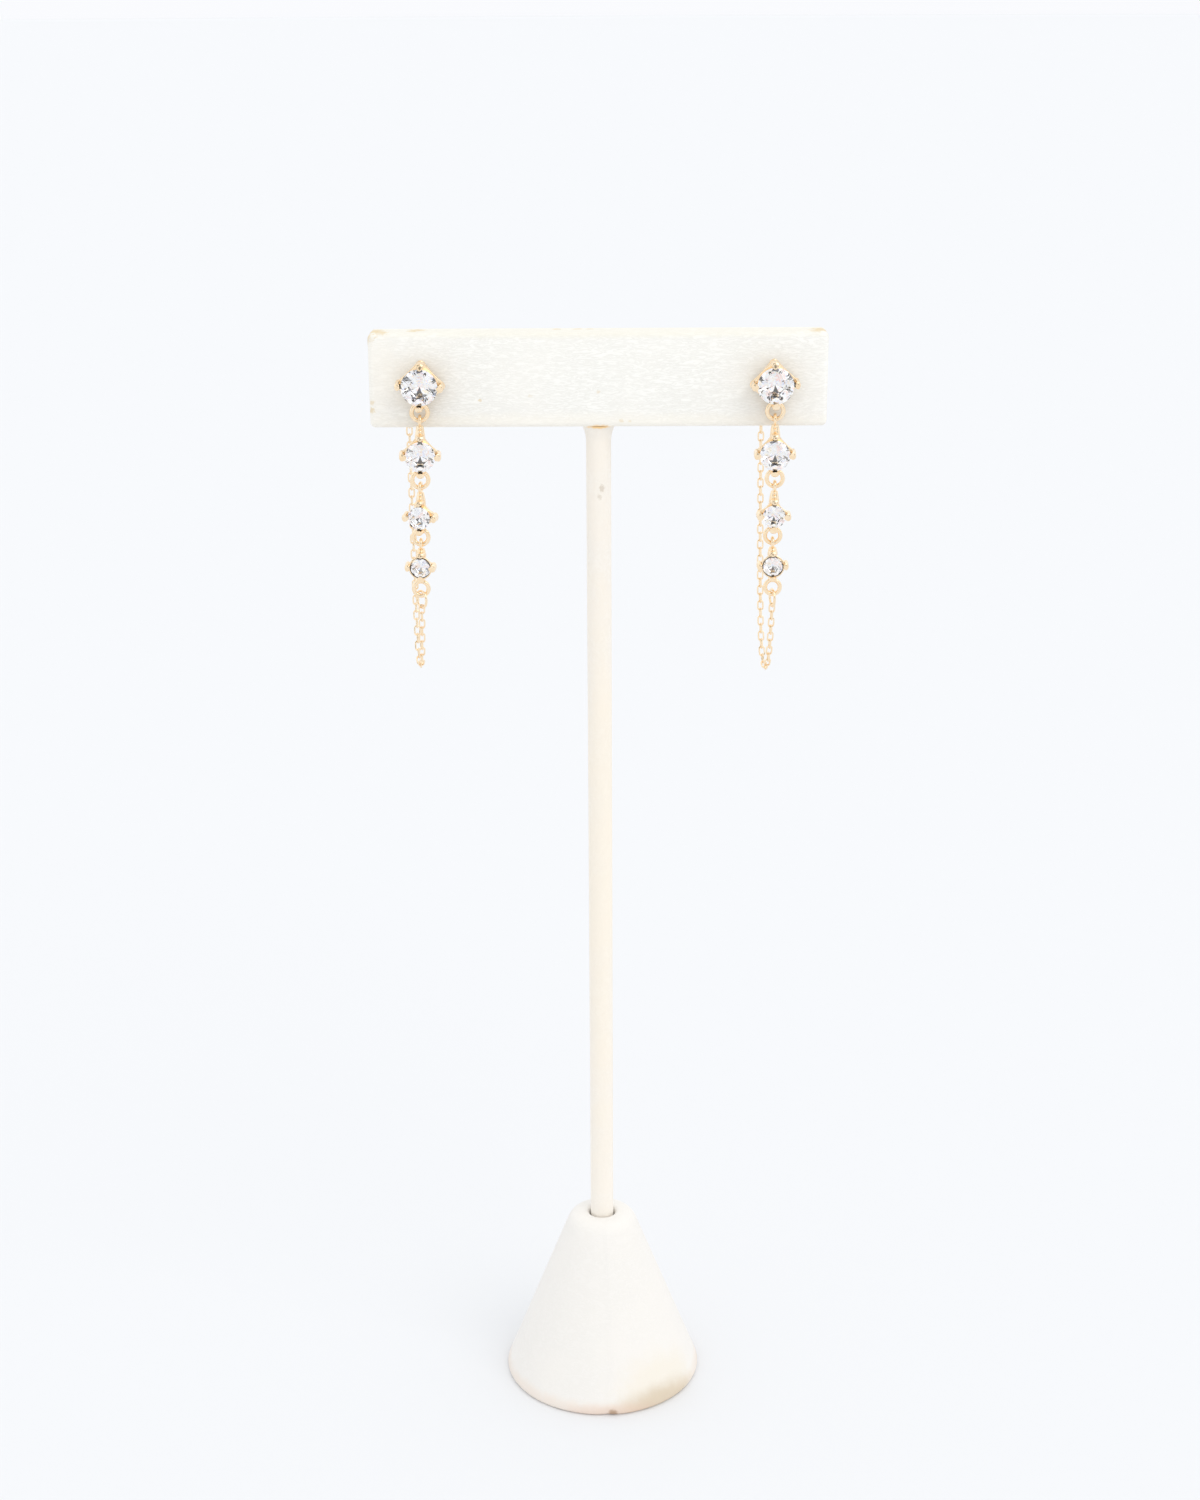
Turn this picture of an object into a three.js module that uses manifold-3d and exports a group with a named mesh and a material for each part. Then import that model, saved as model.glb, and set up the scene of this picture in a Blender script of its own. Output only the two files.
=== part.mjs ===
// A pair of dangle earrings on a leatherette T-bar stand, in millimetres, with +Z up.
// Each earring is a line of four round stones in claw settings, smaller from one to the next.
// A fine chain hangs from the last setting and runs up behind the bar to the nut on the ear post.

import * as THREE from "three";
import { mergeVertices } from "three/addons/utils/BufferGeometryUtils.js";
import { ConvexGeometry } from "three/addons/geometries/ConvexGeometry.js";
import Module from "manifold-3d";

const wasm = await Module();
wasm.setup();

// Stand
const standHeight = 196.6;
const barLength = 75.7;
const barHeight = 15.5;
const barThickness = 7;
const barEdgeRound = 0.9;
const barCornerRound = 0.6;
const postDiameter = 4.2;
const flareDiameter = 5.7;
const flareLength = 3;
const tenonDiameter = 2.6;
const tenonLength = 6;
const baseDiameter = 36.2;
const baseHeight = 32.7;
const baseHemRound = 0.7;
const baseRimWidth = 2.6;
const baseShoulderRound = 2.1;
const baseMouthRound = 0.7;
const socketDepth = 12;
const seatClearance = 0.3;

// How far below the top of the bar the two earrings are pinned
const studBelowTop = 8.15;

// Stones, as shares of each stone's own diameter
const stoneCut = { table: 0.56, crown: 0.14, girdle: 0.03, pavilion: 0.42 };
const girdleCorners = 12;
const tableCorners = 8;

// Settings
const cupFloor = 0.35;
const cupWall = 0.32;
const cupBackShare = 0.5;
const stoneClearance = 0.06;
const seatOvershoot = 0.1;
const flangeThickness = 0.75;
const flangeCornerWidth = 0.8;
const flangeSideInset = 0.06;
const clawRadius = 0.42;
const clawGap = 0.1;
const clawCover = 0.15;
const clawShoulder = 0.05;
const clawTip = 0.4;
const clawSides = 5;
const stemFootWidth = 1.6;
const stemTopWidth = 0.9;

// Rings, loops and the wire that they are made of
const ringWire = 0.72;
const loopWire = 0.56;
const loopClearance = 0.16;
const linkPlay = 0.12;
const ringSegments = 10;
const wireSides = 5;
const flangeMiddle = flangeThickness / 2;

// One row for each setting, from the ear down. reach: flange corner past the stone's edge.
// ring: outer diameter of the ring below. sink: how far that ring sits up behind the corner.
// stem: length between the flange's top corner and the loop.
const settings = [
  { name: "stud", stone: 6, reach: 1.1, ring: 3.4, sink: 0.92, stem: null },
  { name: "upper", stone: 5, reach: 0.93, ring: 3.4, sink: 0.58, stem: 1.15 },
  { name: "middle", stone: 3.8, reach: 0.88, ring: 3.3, sink: 0.6, stem: 0.95 },
  { name: "lower", stone: 3.2, reach: 0.84, ring: 3.2, sink: -0.08, stem: 0.25 },
];

// Ear post and the nut behind the bar
const earPostDiameter = 0.8;
const earPostPastNut = 0.8;
const holeClearance = 0.2;
const nutClearance = 0.12;
const nutDiscDiameter = 5.4;
const nutDiscThickness = 0.85;
const nutBarrelDiameter = 2.2;
const nutBarrelLength = 2.2;
const nutGap = 0.3;
const eyeletWire = 0.44;
const eyeletRadius = 0.62;
const eyeletSink = 0.12;

// Jump ring and chain
const jumpWire = 0.44;
const jumpOuter = 3.3;
const chainWire = 0.3;
const chainPlay = 0.08;
const chainPitch = 1.325;
const chainLinks = 46;
const chainFuse = 0.03;

// How many flat sides stand in for each round, and how far a cutting tool runs past a face
const sides = { base: 20, post: 12, nut: 12, barrel: 8, earPost: 8 };
const curveSteps = 2;
const toolOvershoot = 1;

// inset: the ear post in from the end of the bar. How each earring hangs, in degrees, is given by
// roll: in the plane of the face, turn: about the vertical, eyelet: the nut's eyelet from straight
// down, to the left, and jump: the jump ring about the vertical.
const earrings = [
  {
    side: "left",
    place: -1,
    inset: 8.6,
    roll: [-2.8, -1.2, -1.2, -1.6],
    turn: [0, 4, -8, -2],
    eyelet: 60,
    jump: 38,
  },
  {
    side: "right",
    place: 1,
    inset: 8.9,
    roll: [2.4, 0.7, -1.1, 1],
    turn: [0, -3, 0, -1],
    eyelet: 28,
    jump: 12,
  },
];

// Joining and cutting closed geometries
function solidOf(geometry) {
  const bare = new THREE.BufferGeometry().setAttribute(
    "position",
    geometry.getAttribute("position").clone(),
  );
  if (geometry.index) bare.setIndex(geometry.index.clone());
  const merged = mergeVertices(bare, 1e-4);
  return new wasm.Manifold(
    new wasm.Mesh({
      numProp: 3,
      vertProperties: merged.getAttribute("position").array,
      triVerts: new Uint32Array(merged.index.array),
    }),
  );
}

function geometryOf(solid) {
  const made = solid.getMesh();
  const points = new Float32Array(made.numVert * 3);
  for (let i = 0; i < made.numVert; i++) {
    const start = i * made.numProp;
    points.set(made.vertProperties.subarray(start, start + 3), i * 3);
  }
  return new THREE.BufferGeometry()
    .setAttribute("position", new THREE.BufferAttribute(points, 3))
    .setIndex(new THREE.BufferAttribute(new Uint32Array(made.triVerts), 1));
}

function join(geometries) {
  const whole = geometries.map(solidOf).reduce((a, b) => a.add(b));
  return geometryOf(whole);
}

function cut(geometry, tools) {
  const whole = tools.map(solidOf).reduce((a, b) => a.subtract(b), solidOf(geometry));
  return geometryOf(whole);
}

function piece(name, geometry, material) {
  geometry.computeVertexNormals();
  const mesh = new THREE.Mesh(geometry, material.clone());
  mesh.name = name;
  return mesh;
}

// A turned shape about +Z, from a profile of radius and height
function turned(path, segments) {
  return new THREE.LatheGeometry(path.getPoints(curveSteps), segments).rotateX(Math.PI / 2);
}

// A round rod about +Z between two heights
function rod(radius, low, high, segments) {
  return new THREE.CylinderGeometry(radius, radius, high - low, segments)
    .rotateX(Math.PI / 2)
    .translate(0, 0, (low + high) / 2);
}

const leatherette = new THREE.MeshStandardMaterial({ color: 0xf8f5ee, roughness: 0.72, metalness: 0 });
const postWrap = new THREE.MeshStandardMaterial({ color: 0xf6ecd9, roughness: 0.75, metalness: 0 });
const gold = new THREE.MeshStandardMaterial({ color: 0xf0c987, roughness: 0.22, metalness: 1 });
const crystal = new THREE.MeshStandardMaterial({
  color: 0xf4f6f8,
  roughness: 0.03,
  metalness: 0,
  transparent: true,
  opacity: 0.55,
});

// Stand
const postRadius = postDiameter / 2;
const socketRadius = postRadius + seatClearance;
const barBottom = standHeight - barHeight;
const studHeight = standHeight - studBelowTop;
const earPostRadius = earPostDiameter / 2;

function studAcross(earring) {
  return earring.place * (barLength / 2 - earring.inset);
}

function baseGeometry() {
  const radius = baseDiameter / 2;
  const mouth = socketRadius + baseMouthRound;
  const corner = new THREE.Vector2(mouth + baseRimWidth, baseHeight);
  const foot = new THREE.Vector2(radius, baseHemRound);
  const round = Math.min(baseShoulderRound, baseRimWidth);
  const side = foot.clone().sub(corner).setLength(round).add(corner);
  const path = new THREE.Path();
  path.moveTo(0, 0);
  path.lineTo(radius - baseHemRound, 0);
  path.lineTo(foot.x, foot.y);
  path.lineTo(side.x, side.y);
  path.quadraticCurveTo(corner.x, corner.y, corner.x - round, baseHeight);
  path.lineTo(mouth, baseHeight);
  path.lineTo(socketRadius, baseHeight - baseMouthRound);
  path.lineTo(socketRadius, baseHeight - socketDepth);
  path.lineTo(0, baseHeight - socketDepth);
  return turned(path, sides.base);
}

function postGeometry() {
  const foot = baseHeight - socketDepth + seatClearance;
  const top = barBottom - seatClearance;
  const path = new THREE.Path();
  path.moveTo(0, foot);
  path.lineTo(postRadius, foot);
  path.lineTo(postRadius, top - flareLength);
  path.quadraticCurveTo(postRadius, top, flareDiameter / 2, top);
  path.lineTo(tenonDiameter / 2, top);
  path.lineTo(tenonDiameter / 2, top + tenonLength);
  path.lineTo(0, top + tenonLength);
  return turned(path, sides.post);
}

function barGeometry() {
  const across = barLength / 2 - barEdgeRound;
  const low = barBottom + barEdgeRound;
  const high = standHeight - barEdgeRound;
  const round = barCornerRound;
  const face = new THREE.Shape();
  face.moveTo(-across + round, low);
  face.lineTo(across - round, low);
  face.quadraticCurveTo(across, low, across, low + round);
  face.lineTo(across, high - round);
  face.quadraticCurveTo(across, high, across - round, high);
  face.lineTo(-across + round, high);
  face.quadraticCurveTo(-across, high, -across, high - round);
  face.lineTo(-across, low + round);
  face.quadraticCurveTo(-across, low, -across + round, low);
  const slab = new THREE.ExtrudeGeometry(face, {
    depth: barThickness - 2 * barEdgeRound,
    bevelThickness: barEdgeRound,
    bevelSize: barEdgeRound,
    bevelSegments: curveSteps,
    curveSegments: curveSteps,
  })
    .translate(0, 0, barEdgeRound - barThickness / 2)
    .rotateX(Math.PI / 2);
  const socket = rod(
    tenonDiameter / 2 + seatClearance,
    barBottom - toolOvershoot,
    barBottom + tenonLength,
    sides.post,
  );
  const holes = earrings.map((earring) =>
    rod(earPostRadius + holeClearance, -barThickness, barThickness, sides.earPost)
      .rotateX(Math.PI / 2)
      .translate(studAcross(earring), 0, studHeight),
  );
  return cut(slab, [socket, ...holes]);
}

// Jewellery is made facing +Z with +Y up, and the whole earring is then stood up on the bar.
function girdleHeight(diameter) {
  return cupFloor + stoneClearance + diameter * (stoneCut.pavilion + stoneCut.girdle / 2);
}

// A ring about +Z, with an edge of its wire turned to the middle
function ringOf(radius, wire) {
  const section = [];
  for (let i = 0; i <= wireSides; i++) {
    const angle = Math.PI + ((i % wireSides) / wireSides) * Math.PI * 2;
    const out = radius + (wire / 2) * Math.cos(angle);
    section.push(new THREE.Vector2(out, (wire / 2) * Math.sin(angle)));
  }
  return new THREE.LatheGeometry(section, ringSegments, Math.PI / ringSegments).rotateX(Math.PI / 2);
}

function stoneGeometry(diameter) {
  const radius = diameter / 2;
  const middle = girdleHeight(diameter);
  const half = (diameter * stoneCut.girdle) / 2;
  const points = [new THREE.Vector3(0, 0, middle - half - diameter * stoneCut.pavilion)];
  const circle = (corners, size, height) => {
    for (let i = 0; i < corners; i++) {
      const angle = (i / corners) * Math.PI * 2;
      points.push(new THREE.Vector3(size * Math.cos(angle), size * Math.sin(angle), height));
    }
  };
  circle(tableCorners, radius * stoneCut.table, middle + half + diameter * stoneCut.crown);
  circle(girdleCorners, radius, middle + half);
  circle(girdleCorners, radius, middle - half);
  return new ConvexGeometry(points);
}

// The cup's side leans out as the stone's back does, and its rim is one wall below the stone's edge.
const stoneSlope = 0.5 / stoneCut.pavilion;

function cupRim(diameter) {
  return cupFloor + diameter * stoneCut.pavilion - cupWall / stoneSlope;
}

function cupGeometry(diameter) {
  const path = new THREE.Path();
  path.moveTo(0, flangeMiddle);
  path.lineTo((diameter / 2) * cupBackShare, flangeMiddle);
  path.lineTo(diameter / 2, cupRim(diameter));
  path.lineTo(0, cupRim(diameter));
  return turned(path, girdleCorners);
}

// What is taken out of the cup and the flange for the stone's back
function seatGeometry(diameter) {
  const top = Math.max(cupRim(diameter), flangeThickness);
  const depth = top - cupFloor + seatOvershoot;
  const path = new THREE.Path();
  path.moveTo(0, cupFloor);
  path.lineTo(depth * stoneSlope, cupFloor + depth);
  path.lineTo(0, cupFloor + depth);
  return turned(path, girdleCorners);
}

function cornerHeight(row) {
  return row.stone / 2 + row.reach;
}

const loopRadius = ringWire / 2 + loopClearance + loopWire / 2;

// The studs stand off the bar, so that the loops under them hang clear of its face.
const loopBehind = Math.max(0, loopRadius + loopWire / 2 - flangeMiddle);
const standoff = loopBehind + seatClearance;

function loopAbove(row) {
  return cornerHeight(row) + row.stem + loopRadius + loopWire / 2;
}

// A hollow-sided diamond with blunt corners. Where a loop sits above it, its top corner runs on
// as a tapering stem.
function flangeGeometry(row) {
  const side = (row.stone / 2 - flangeSideInset) * Math.SQRT1_2;
  const corner = cornerHeight(row);
  const blunt = flangeCornerWidth / 2;
  const outline = new THREE.Shape();
  outline.moveTo(-side, side);
  outline.lineTo(-corner, blunt);
  outline.lineTo(-corner, -blunt);
  outline.lineTo(-side, -side);
  outline.lineTo(-blunt, -corner);
  outline.lineTo(blunt, -corner);
  outline.lineTo(side, -side);
  outline.lineTo(corner, -blunt);
  outline.lineTo(corner, blunt);
  outline.lineTo(side, side);
  if (row.stem === null) {
    outline.lineTo(blunt, corner);
    outline.lineTo(-blunt, corner);
  } else {
    const foot = corner - ((corner - side) * (stemFootWidth / 2 - blunt)) / (side - blunt);
    const top = loopAbove(row) - loopRadius;
    outline.lineTo(stemFootWidth / 2, foot);
    outline.lineTo(stemTopWidth / 2, top);
    outline.lineTo(-stemTopWidth / 2, top);
    outline.lineTo(-stemFootWidth / 2, foot);
  }
  return new THREE.ExtrudeGeometry(outline, { depth: flangeThickness, bevelEnabled: false });
}

// A claw stands beside the stone, and its tip leans over the stone's edge.
function clawGeometry(row) {
  const shoulder = girdleHeight(row.stone) + (row.stone * stoneCut.girdle) / 2 + clawShoulder;
  const path = new THREE.Path();
  path.moveTo(0, flangeMiddle);
  path.lineTo(clawRadius, flangeMiddle);
  path.lineTo(clawRadius, shoulder);
  path.lineTo(0, shoulder + clawTip);
  const claw = turned(path, clawSides).rotateZ(Math.PI / 2);
  const place = claw.getAttribute("position");
  for (let i = 0; i < place.count; i++) {
    const onTip = place.getZ(i) > shoulder + clawTip / 2;
    if (onTip) place.setX(i, -clawRadius - clawGap - clawCover);
  }
  return claw.translate(row.stone / 2 + clawGap + clawRadius, 0, 0);
}

function ringRadius(row) {
  return (row.ring - ringWire) / 2;
}

function ringBelow(row) {
  return cornerHeight(row) + ringRadius(row) - row.sink;
}

// A setting's origin is on its stone's axis, at the back of the flange.
function settingGeometry(row) {
  const parts = [cupGeometry(row.stone), flangeGeometry(row)];
  for (let i = 0; i < 4; i++) parts.push(clawGeometry(row).rotateZ((i * Math.PI) / 2));
  parts.push(ringOf(ringRadius(row), ringWire).translate(0, -ringBelow(row), flangeMiddle));
  if (row.stem === null) {
    const tip = barThickness + nutGap + nutBarrelLength + nutDiscThickness + earPostPastNut;
    parts.push(rod(earPostRadius, -standoff - tip, cupFloor, sides.earPost));
  } else {
    parts.push(
      ringOf(loopRadius, loopWire)
        .rotateY(Math.PI / 2)
        .translate(0, loopAbove(row), flangeMiddle),
    );
  }
  return cut(join(parts), [seatGeometry(row.stone)]);
}

function eyeletCentre(earring) {
  const angle = THREE.MathUtils.degToRad(earring.eyelet);
  const out = nutDiscDiameter / 2 + eyeletRadius - eyeletSink;
  return new THREE.Vector3(
    -out * Math.sin(angle),
    -out * Math.cos(angle),
    -barThickness - nutGap - nutDiscThickness + eyeletWire / 2,
  );
}

// Nut with a disc against the bar, a barrel behind it and an eyelet on the rim of the disc
function nutGeometry(earring) {
  const back = -barThickness - nutGap;
  const discBack = back - nutDiscThickness;
  const barrelBack = discBack - nutBarrelLength;
  const eyelet = eyeletCentre(earring);
  const body = join([
    rod(nutDiscDiameter / 2, discBack, back, sides.nut),
    rod(nutBarrelDiameter / 2, barrelBack, (discBack + back) / 2, sides.barrel),
    ringOf(eyeletRadius, eyeletWire).translate(eyelet.x, eyelet.y, eyelet.z),
  ]);
  const bore = rod(
    earPostRadius + nutClearance,
    barrelBack - toolOvershoot,
    back + toolOvershoot,
    sides.earPost,
  );
  return cut(body, [bore]);
}

// Points of a hanging chain of equal links between two ends, each link at rest under gravity
function hang(start, end, links, pitch) {
  const flat = new THREE.Vector3(end.x - start.x, 0, end.z - start.z);
  const across = flat.length();
  const rise = end.y - start.y;
  flat.normalize();
  const sums = (pull, low) => {
    let h = 0;
    let v = 0;
    for (let i = 0; i < links; i++) {
      const weight = i + 0.5 - low;
      const size = Math.hypot(pull, weight);
      h += (pitch * pull) / size;
      v += (pitch * weight) / size;
    }
    return { h, v };
  };
  const between = (low, high, tooLow) => {
    for (let i = 0; i < 60; i++) {
      const middle = (low + high) / 2;
      if (tooLow(middle)) low = middle;
      else high = middle;
    }
    return (low + high) / 2;
  };
  const lowest = (pull) => between(0, links, (low) => sums(pull, low).v > rise);
  const pull = between(0.001, links, (p) => sums(p, lowest(p)).h < across);
  const low = lowest(pull);
  const points = [start.clone()];
  for (let i = 0; i < links; i++) {
    const weight = i + 0.5 - low;
    const size = Math.hypot(pull, weight);
    const step = flat.clone().multiplyScalar((pitch * pull) / size);
    step.y = (pitch * weight) / size;
    points.push(points[i].clone().add(step));
  }
  return { points, flat };
}

// One oval link along +Y, flat in the plane of X and Y
function linkGeometry() {
  const inner = jumpWire + 2 * chainPlay;
  const flat = Math.cos(Math.PI / ringSegments);
  const radius = (inner + chainWire) / 2 / flat;
  const link = ringOf(radius, chainWire);
  const place = link.getAttribute("position");
  const stretch = (chainPitch - chainFuse) / 2 - (radius - chainWire / 2) * flat;
  for (let i = 0; i < place.count; i++) {
    const y = place.getY(i);
    const onMiddle = Math.abs(y) < chainFuse;
    if (!onMiddle) place.setY(i, y + Math.sign(y) * stretch);
  }
  return link;
}

function chainGeometry(start, end) {
  const { points, flat } = hang(start, end, chainLinks, chainPitch);
  const sideways = new THREE.Vector3(0, 1, 0).cross(flat).normalize();
  const links = [];
  for (let i = 0; i < chainLinks; i++) {
    const along = points[i + 1].clone().sub(points[i]).normalize();
    const face = i % 2 ? sideways.clone() : sideways.clone().cross(along);
    const across = along.clone().cross(face);
    const middle = points[i].clone().lerp(points[i + 1], 0.5);
    const matrix = new THREE.Matrix4().makeBasis(across, along, face).setPosition(middle);
    links.push(linkGeometry().applyMatrix4(matrix));
  }
  return join(links);
}

function earringGroup(earring) {
  const group = new THREE.Group();
  const name = (what) => earring.side + "_" + what;
  let hook = null;
  settings.forEach((row, i) => {
    const turn = new THREE.Matrix4().makeRotationFromEuler(
      new THREE.Euler(
        0,
        THREE.MathUtils.degToRad(earring.turn[i]),
        THREE.MathUtils.degToRad(earring.roll[i]),
      ),
    );
    const pivot = hook ? new THREE.Vector3(0, loopAbove(row), flangeMiddle) : new THREE.Vector3();
    const place = hook ?? new THREE.Vector3(0, 0, standoff);
    const matrix = new THREE.Matrix4()
      .makeTranslation(place.x, place.y, place.z)
      .multiply(turn)
      .multiply(new THREE.Matrix4().makeTranslation(pivot.negate()));
    const setting = piece(name(row.name + "_setting"), settingGeometry(row), gold);
    const stone = piece(name(row.name + "_stone"), stoneGeometry(row.stone), crystal);
    for (const mesh of [setting, stone]) {
      matrix.decompose(mesh.position, mesh.quaternion, mesh.scale);
      group.add(mesh);
    }
    const ringCentre = new THREE.Vector3(0, -ringBelow(row), flangeMiddle).applyMatrix4(matrix);
    const wireTop = ringCentre.y - ringRadius(row) + ringWire / 2 + linkPlay;
    const next = settings[i + 1] ? loopRadius - loopWire / 2 : (jumpOuter - 2 * jumpWire) / 2;
    hook = new THREE.Vector3(ringCentre.x, wireTop - next, ringCentre.z);
  });

  const jumpRadius = (jumpOuter - jumpWire) / 2;
  const jump = piece(name("jump_ring"), ringOf(jumpRadius, jumpWire), gold);
  jump.position.copy(hook);
  jump.rotation.y = Math.PI / 2 + THREE.MathUtils.degToRad(earring.jump);
  group.add(jump);

  const lift = jumpWire / 2 + chainPlay;
  const start = hook.clone().add(new THREE.Vector3(0, lift - jumpRadius, 0));
  const end = eyeletCentre(earring);
  end.y += eyeletWire / 2 + chainPlay - eyeletRadius;
  group.add(piece(name("chain"), chainGeometry(start, end), gold));
  group.add(piece(name("ear_nut"), nutGeometry(earring), gold));

  group.position.set(studAcross(earring), -barThickness / 2, studHeight);
  group.rotation.x = Math.PI / 2;
  return group;
}

const model = new THREE.Group();
model.add(piece("stand_base", baseGeometry(), leatherette));
model.add(piece("stand_post", postGeometry(), postWrap));
model.add(piece("stand_bar", barGeometry(), leatherette));
for (const earring of earrings) model.add(earringGroup(earring));

export default model;
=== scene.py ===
# A pair of dangle earrings on a leatherette T-bar stand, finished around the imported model.
# Lengths in the dictionaries are in millimetres unless a note says otherwise.
import math

import bmesh
import bpy
from mathutils import Matrix, Vector


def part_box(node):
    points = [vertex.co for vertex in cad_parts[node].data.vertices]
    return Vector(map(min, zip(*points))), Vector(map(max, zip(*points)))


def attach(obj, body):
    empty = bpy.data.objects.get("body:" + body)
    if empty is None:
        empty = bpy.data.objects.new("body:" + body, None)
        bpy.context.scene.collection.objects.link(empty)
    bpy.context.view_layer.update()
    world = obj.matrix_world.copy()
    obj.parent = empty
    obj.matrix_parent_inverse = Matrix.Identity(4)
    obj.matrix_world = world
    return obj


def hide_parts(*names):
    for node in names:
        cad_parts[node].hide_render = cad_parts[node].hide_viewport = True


mm = 0.001
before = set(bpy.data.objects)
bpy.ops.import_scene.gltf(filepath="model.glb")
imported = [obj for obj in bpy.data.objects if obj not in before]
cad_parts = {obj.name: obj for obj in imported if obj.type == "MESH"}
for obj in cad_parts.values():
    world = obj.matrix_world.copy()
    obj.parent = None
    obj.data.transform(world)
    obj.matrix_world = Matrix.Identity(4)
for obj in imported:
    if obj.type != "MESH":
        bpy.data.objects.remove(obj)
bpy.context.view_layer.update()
scene = bpy.context.scene
print("frame loaded,", len(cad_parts), "nodes")


# Camera, floor and light

shot = {
    "place": (0, -382, 250.8),
    "lookDown": 18.42,
    "roll": -0.26,
    "focalPixels": 2300,
    "imageHeight": 1500,
    "sensor": 36,
    "near": 10,
}


def setCamera():
    data = bpy.data.cameras.new("camera")
    data.sensor_fit = "VERTICAL"
    data.sensor_height = shot["sensor"]
    data.lens = shot["focalPixels"] / shot["imageHeight"] * shot["sensor"]
    data.clip_start = shot["near"] * mm
    camera = bpy.data.objects.new("camera", data)
    scene.collection.objects.link(camera)
    tilt = Matrix.Rotation(math.radians(90 - shot["lookDown"]), 4, "X")
    roll = Matrix.Rotation(math.radians(shot["roll"]), 4, "Z")
    camera.matrix_world = Matrix.Translation(Vector(shot["place"]) * mm) @ tilt @ roll
    scene.camera = camera


studio = {
    "sky": (0.97, 0.985, 1.0),
    "skyStrength": 1.1,
    "backdrop": (0.96, 0.967, 0.992),
    "patchEdge": 4,
    # in degrees: across to the right of the front, up from level
    "patches": [
        {"across": 3, "up": 19, "radius": 11, "tone": 0.15},
        {"across": 36, "up": 22, "radius": 8, "tone": 0.3},
        {"across": 26, "up": 46, "radius": 7, "tone": 0.35},
        {"across": -2, "up": 56, "radius": 8, "tone": 0.3},
        {"across": -30, "up": 44, "radius": 12, "tone": 0.35},
        {"across": -34, "up": 13, "radius": 8, "tone": 0.3},
        {"across": 52, "up": 6, "radius": 7, "tone": 0.4},
    ],
    "floorTone": (0.8, 0.806, 0.822),
    "floorRadius": 20000,
    "floorRoughness": 0.9,
    "floorSpecular": 0.1,
    "sunFrom": (0.55, -0.6, 0.9),
    "sunStrength": 0.46,
    "sunSize": 40,
    "sunColour": (1.0, 0.965, 0.9),
}


def setWorld():
    world = bpy.data.worlds.new("studio")
    scene.world = world
    world.use_nodes = True
    tree = world.node_tree
    tree.nodes.clear()
    out = tree.nodes.new("ShaderNodeOutputWorld")
    place = tree.nodes.new("ShaderNodeTexCoord")
    strength = tree.nodes.new("ShaderNodeValue").outputs[0]
    strength.default_value = studio["skyStrength"]
    # darker places in front of the stones, such as a camera and its stand leave in a white room
    for patch in studio["patches"]:
        across = math.radians(patch["across"])
        up = math.radians(patch["up"])
        level = math.cos(up)
        toward = tree.nodes.new("ShaderNodeVectorMath")
        toward.operation = "DOT_PRODUCT"
        aim = (math.sin(across) * level, -math.cos(across) * level, math.sin(up))
        toward.inputs[1].default_value = aim
        tree.links.new(place.outputs["Generated"], toward.inputs[0])
        outer = patch["radius"] + studio["patchEdge"]
        shade = tree.nodes.new("ShaderNodeMapRange")
        shade.interpolation_type = "SMOOTHSTEP"
        shade.inputs["From Min"].default_value = math.cos(math.radians(outer))
        shade.inputs["From Max"].default_value = math.cos(math.radians(patch["radius"]))
        shade.inputs["To Min"].default_value = 1
        shade.inputs["To Max"].default_value = patch["tone"]
        tree.links.new(toward.outputs["Value"], shade.inputs["Value"])
        times = tree.nodes.new("ShaderNodeMath")
        times.operation = "MULTIPLY"
        tree.links.new(strength, times.inputs[0])
        tree.links.new(shade.outputs["Result"], times.inputs[1])
        strength = times.outputs["Value"]
    lit = tree.nodes.new("ShaderNodeBackground")
    lit.inputs["Color"].default_value = (*studio["sky"], 1)
    seen = tree.nodes.new("ShaderNodeBackground")
    seen.inputs["Color"].default_value = (*studio["backdrop"], 1)
    path = tree.nodes.new("ShaderNodeLightPath")
    even = tree.nodes.new("ShaderNodeMix")
    even.inputs["B"].default_value = studio["skyStrength"]
    mix = tree.nodes.new("ShaderNodeMixShader")
    link = tree.links.new
    link(path.outputs["Is Diffuse Ray"], even.inputs["Factor"])
    link(strength, even.inputs["A"])
    link(even.outputs["Result"], lit.inputs["Strength"])
    link(path.outputs["Is Camera Ray"], mix.inputs["Fac"])
    link(lit.outputs["Background"], mix.inputs[1])
    link(seen.outputs["Background"], mix.inputs[2])
    link(mix.outputs["Shader"], out.inputs["Surface"])


def setFloorAndSun():
    bm = bmesh.new()
    bmesh.ops.create_circle(bm, cap_ends=True, segments=64, radius=studio["floorRadius"] * mm)
    data = bpy.data.meshes.new("floor")
    bm.to_mesh(data)
    bm.free()
    floor = bpy.data.objects.new("floor", data)
    scene.collection.objects.link(floor)
    paint = bpy.data.materials.new("floor")
    paint.use_nodes = True
    shader = paint.node_tree.nodes["Principled BSDF"]
    shader.inputs["Base Color"].default_value = (*studio["floorTone"], 1)
    shader.inputs["Roughness"].default_value = studio["floorRoughness"]
    shader.inputs["Specular IOR Level"].default_value = studio["floorSpecular"]
    data.materials.append(paint)

    light = bpy.data.lights.new("sun", "SUN")
    light.energy = studio["sunStrength"]
    light.angle = math.radians(studio["sunSize"])
    light.color = studio["sunColour"]
    sun = bpy.data.objects.new("sun", light)
    sun.matrix_world = Vector(studio["sunFrom"]).to_track_quat("Z", "Y").to_matrix().to_4x4()
    scene.collection.objects.link(sun)


scene.view_settings.view_transform = "Standard"
setCamera()
setWorld()
setFloorAndSun()
print("camera, floor and light placed")


# Node groups that more than one finish uses

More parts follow.
